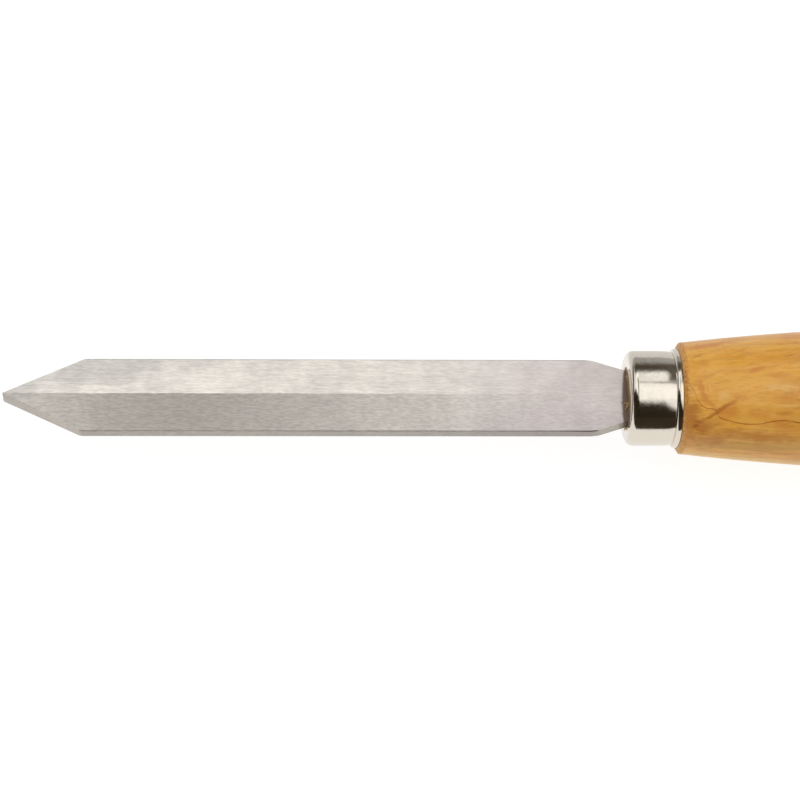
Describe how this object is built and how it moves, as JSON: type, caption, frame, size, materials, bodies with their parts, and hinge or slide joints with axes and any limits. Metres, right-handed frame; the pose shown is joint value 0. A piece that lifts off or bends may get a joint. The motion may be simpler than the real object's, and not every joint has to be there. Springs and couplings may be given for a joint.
{
  "type": "diamond parting tool",
  "caption": "Wood-turning parting tool: diamond-section steel blade with a double-bevel point, plated ferrule and turned, lacquered wooden handle.",
  "frame": {"origin": "On the tool's axis, halfway along the ferrule's straight wall.", "axes": "-X runs along the axis to the blade's point and +X to the handle's end, Y runs across the blade from narrow edge to narrow edge, and +Z is the normal of the blade's flat, up when the tool lies flat on a bench."},
  "size_m": [0.4395, 0.0368, 0.0368],
  "materials": {
    "blade_steel": "ground lengthwise, satin",
    "ferrule_plating": "bright nickel-like plating",
    "handle_wood": "honey-coloured clear lacquer, satin gloss"
  },
  "bodies": {
    "root": {"blade": "blade_steel", "ferrule": "ferrule_plating", "handle": "handle_wood"}
  },
  "joints": []
}
